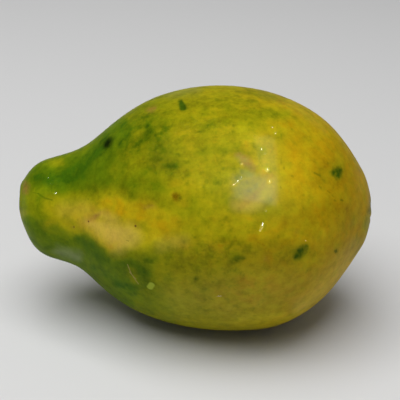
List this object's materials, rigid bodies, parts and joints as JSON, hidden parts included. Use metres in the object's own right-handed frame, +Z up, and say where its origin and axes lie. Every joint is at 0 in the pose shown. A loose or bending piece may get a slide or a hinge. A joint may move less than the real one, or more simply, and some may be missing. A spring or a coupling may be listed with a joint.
{
  "type": "papaya",
  "caption": "Whole ripening papaya lying on its side, with a short thick neck, a corky stem scar and a puckered blossom scar.",
  "frame": {"origin": "bottom centre of the bounding box, on the surface that the fruit rests on", "axes": "+X along the fruit from the stem end to the blossom end, +Z up"},
  "size_m": [0.1766, 0.1234, 0.1214],
  "materials": {
    "skin": "semi-gloss waxy skin, yellow mottled with green"
  },
  "bodies": {
    "root": {"fruit": "skin"}
  },
  "joints": []
}
